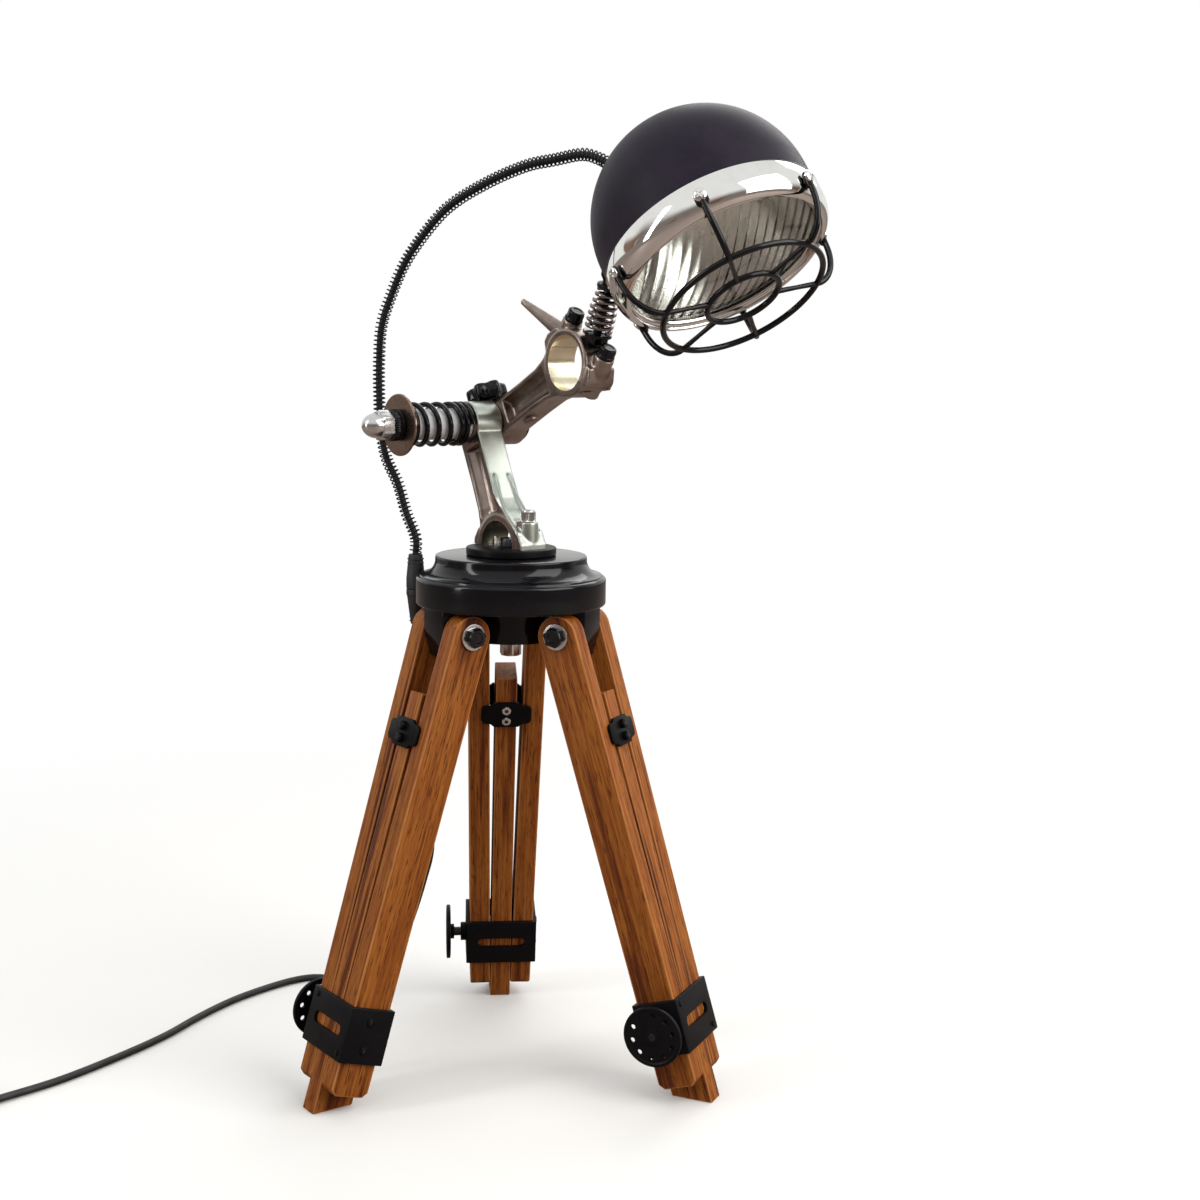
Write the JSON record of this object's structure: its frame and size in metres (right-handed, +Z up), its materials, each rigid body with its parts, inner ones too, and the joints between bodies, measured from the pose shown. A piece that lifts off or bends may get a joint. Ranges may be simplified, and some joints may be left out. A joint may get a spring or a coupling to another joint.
{
  "type": "tripod desk lamp",
  "caption": "Desk lamp with a folding wooden tripod, an arm made of cast connecting rods and a round headlamp under a wire grille.",
  "frame": {"origin": "centre of the lamp's own footprint box, without the loose cord, on the surface that the feet stand on", "axes": "+Z up, the headlamp leans out towards +X and faces down, +Y towards the back leg"},
  "size_m": [0.6816, 0.3825, 0.703],
  "materials": {
    "wood": "stained and oiled, straight grain",
    "gloss_black": "gloss black",
    "satin_black": "satin black",
    "cast_aluminium": "blasted casting with bare machined faces",
    "zinc_steel": "bright zinc",
    "dark_steel": "dark blackened steel",
    "dark_chrome": "dark chrome",
    "chrome": "bright chrome",
    "reflector": "polished reflector",
    "clear_glass": "clear",
    "white_sleeve": "white",
    "rubber": "black cord and mouldings"
  },
  "bodies": {
    "tripod_base": {"turret_head": "gloss_black", "coupler_upper": "rubber", "coupler_lower": "rubber", "lead": "gloss_black", "guard_coil": "gloss_black", "mains_cord": "rubber", "cord_coil": "rubber", "cord_tie": "rubber", "plug": "rubber"},
    "left_leg": {"left_outer_slat_a": "wood", "left_outer_slat_b": "wood", "left_hinge_bolt": "dark_steel", "left_hinge_nut": "dark_steel", "left_clamp_bracket": "satin_black"},
    "left_foot_slide": {"left_inner_slat": "wood", "left_guide_plates": "satin_black"},
    "left_knob": {"left_clamp_knob": "satin_black"},
    "right_leg": {"right_outer_slat_a": "wood", "right_outer_slat_b": "wood", "right_hinge_bolt": "dark_steel", "right_hinge_nut": "dark_steel", "right_clamp_bracket": "satin_black"},
    "right_foot_slide": {"right_inner_slat": "wood", "right_guide_plates": "satin_black"},
    "right_knob": {"right_clamp_knob": "satin_black"},
    "back_leg": {"back_outer_slat_a": "wood", "back_outer_slat_b": "wood", "back_hinge_bolt": "dark_steel", "back_hinge_nut": "dark_steel", "back_clamp_bracket": "satin_black"},
    "back_foot_slide": {"back_inner_slat": "wood", "back_guide_plates": "satin_black"},
    "back_knob": {"back_clamp_knob": "satin_black"},
    "turntable": {"swivel_plate": "satin_black", "swivel_bolt": "dark_steel", "lower_rod": "cast_aluminium", "base_bolt": "zinc_steel", "base_screw": "zinc_steel", "pivot_bolt": "gloss_black", "dome_nut": "zinc_steel", "lock_nut": "gloss_black", "pivot_washer": "zinc_steel", "pivot_spring": "gloss_black", "spring_sleeve": "white_sleeve"},
    "upper_arm": {"upper_rod": "cast_aluminium", "upper_rod_cap": "cast_aluminium", "cap_bolt_upper": "gloss_black", "cap_bolt_lower": "gloss_black", "mount_stud": "gloss_black", "head_spring": "dark_chrome"},
    "arm_lock_knob": {"star_knob": "gloss_black"},
    "lamp_head": {"lamp_shell": "satin_black", "trim_ring": "chrome", "reflector": "reflector", "bulb": "clear_glass", "bulb_holder": "gloss_black", "lens": "clear_glass", "grille": "gloss_black", "lead_gland": "gloss_black", "wing_nut": "gloss_black"}
  },
  "joints": [
    {"name": "left_leg_fold", "type": "hinge", "parent": "tripod_base", "child": "left_leg", "pos_m": [-0.07005, -0.01271, 0.3365], "axis": [0.5, -0.866, 0], "range_deg": [0, 10]},
    {"name": "left_leg_extend", "type": "slide", "parent": "left_leg", "child": "left_foot_slide", "axis": [-0.2521, -0.1456, -0.9567], "range_m": [0, 0.17]},
    {"name": "left_knob_turn", "type": "hinge", "parent": "left_leg", "child": "left_knob", "pos_m": [-0.15667, -0.03271, 0.05715], "axis": [-0.5, 0.866, 0], "continuous": true},
    {"name": "right_leg_fold", "type": "hinge", "parent": "tripod_base", "child": "right_leg", "pos_m": [0.02001, -0.01271, 0.3365], "axis": [0.5, 0.866, 0], "range_deg": [0, 10]},
    {"name": "right_leg_extend", "type": "slide", "parent": "right_leg", "child": "right_foot_slide", "axis": [0.2521, -0.1456, -0.9567], "range_m": [0, 0.17]},
    {"name": "right_knob_turn", "type": "hinge", "parent": "right_leg", "child": "right_knob", "pos_m": [0.08064, -0.07773, 0.05715], "axis": [-0.5, -0.866, 0], "continuous": true},
    {"name": "back_leg_fold", "type": "hinge", "parent": "tripod_base", "child": "back_leg", "pos_m": [-0.02502, 0.06529, 0.3365], "axis": [-1, 0, 0], "range_deg": [0, 10]},
    {"name": "back_leg_extend", "type": "slide", "parent": "back_leg", "child": "back_foot_slide", "axis": [0, 0.2911, -0.9567], "range_m": [0, 0.17]},
    {"name": "back_knob_turn", "type": "hinge", "parent": "back_leg", "child": "back_knob", "pos_m": [-0.05101, 0.1503, 0.05715], "axis": [-1, 0, 0], "continuous": true},
    {"name": "arm_swivel", "type": "hinge", "parent": "tripod_base", "child": "turntable", "pos_m": [-0.02502, 0.01329, 0.3895], "axis": [0, 0, 1], "range_deg": [-60, 60], "deforming": ["lead", "guard_coil"]},
    {"name": "arm_lift", "type": "hinge", "parent": "turntable", "child": "upper_arm", "pos_m": [-0.04874, 0.04981, 0.48398], "axis": [0.8387, 0.5446, 0], "range_deg": [-35, 35], "deforming": ["lead", "guard_coil"]},
    {"name": "arm_lock_turn", "type": "hinge", "parent": "upper_arm", "child": "arm_lock_knob", "pos_m": [-0.03528, 0.05856, 0.48398], "axis": [-0.2473, 0.3807, 0.891], "continuous": true},
    {"name": "lamp_pan", "type": "hinge", "parent": "upper_arm", "child": "lamp_head", "pos_m": [0.0389, -0.04209, 0.58376], "axis": [0.1925, -0.2964, 0.9354], "range_deg": [-20, 20], "deforming": ["lead", "guard_coil"]}
  ]
}
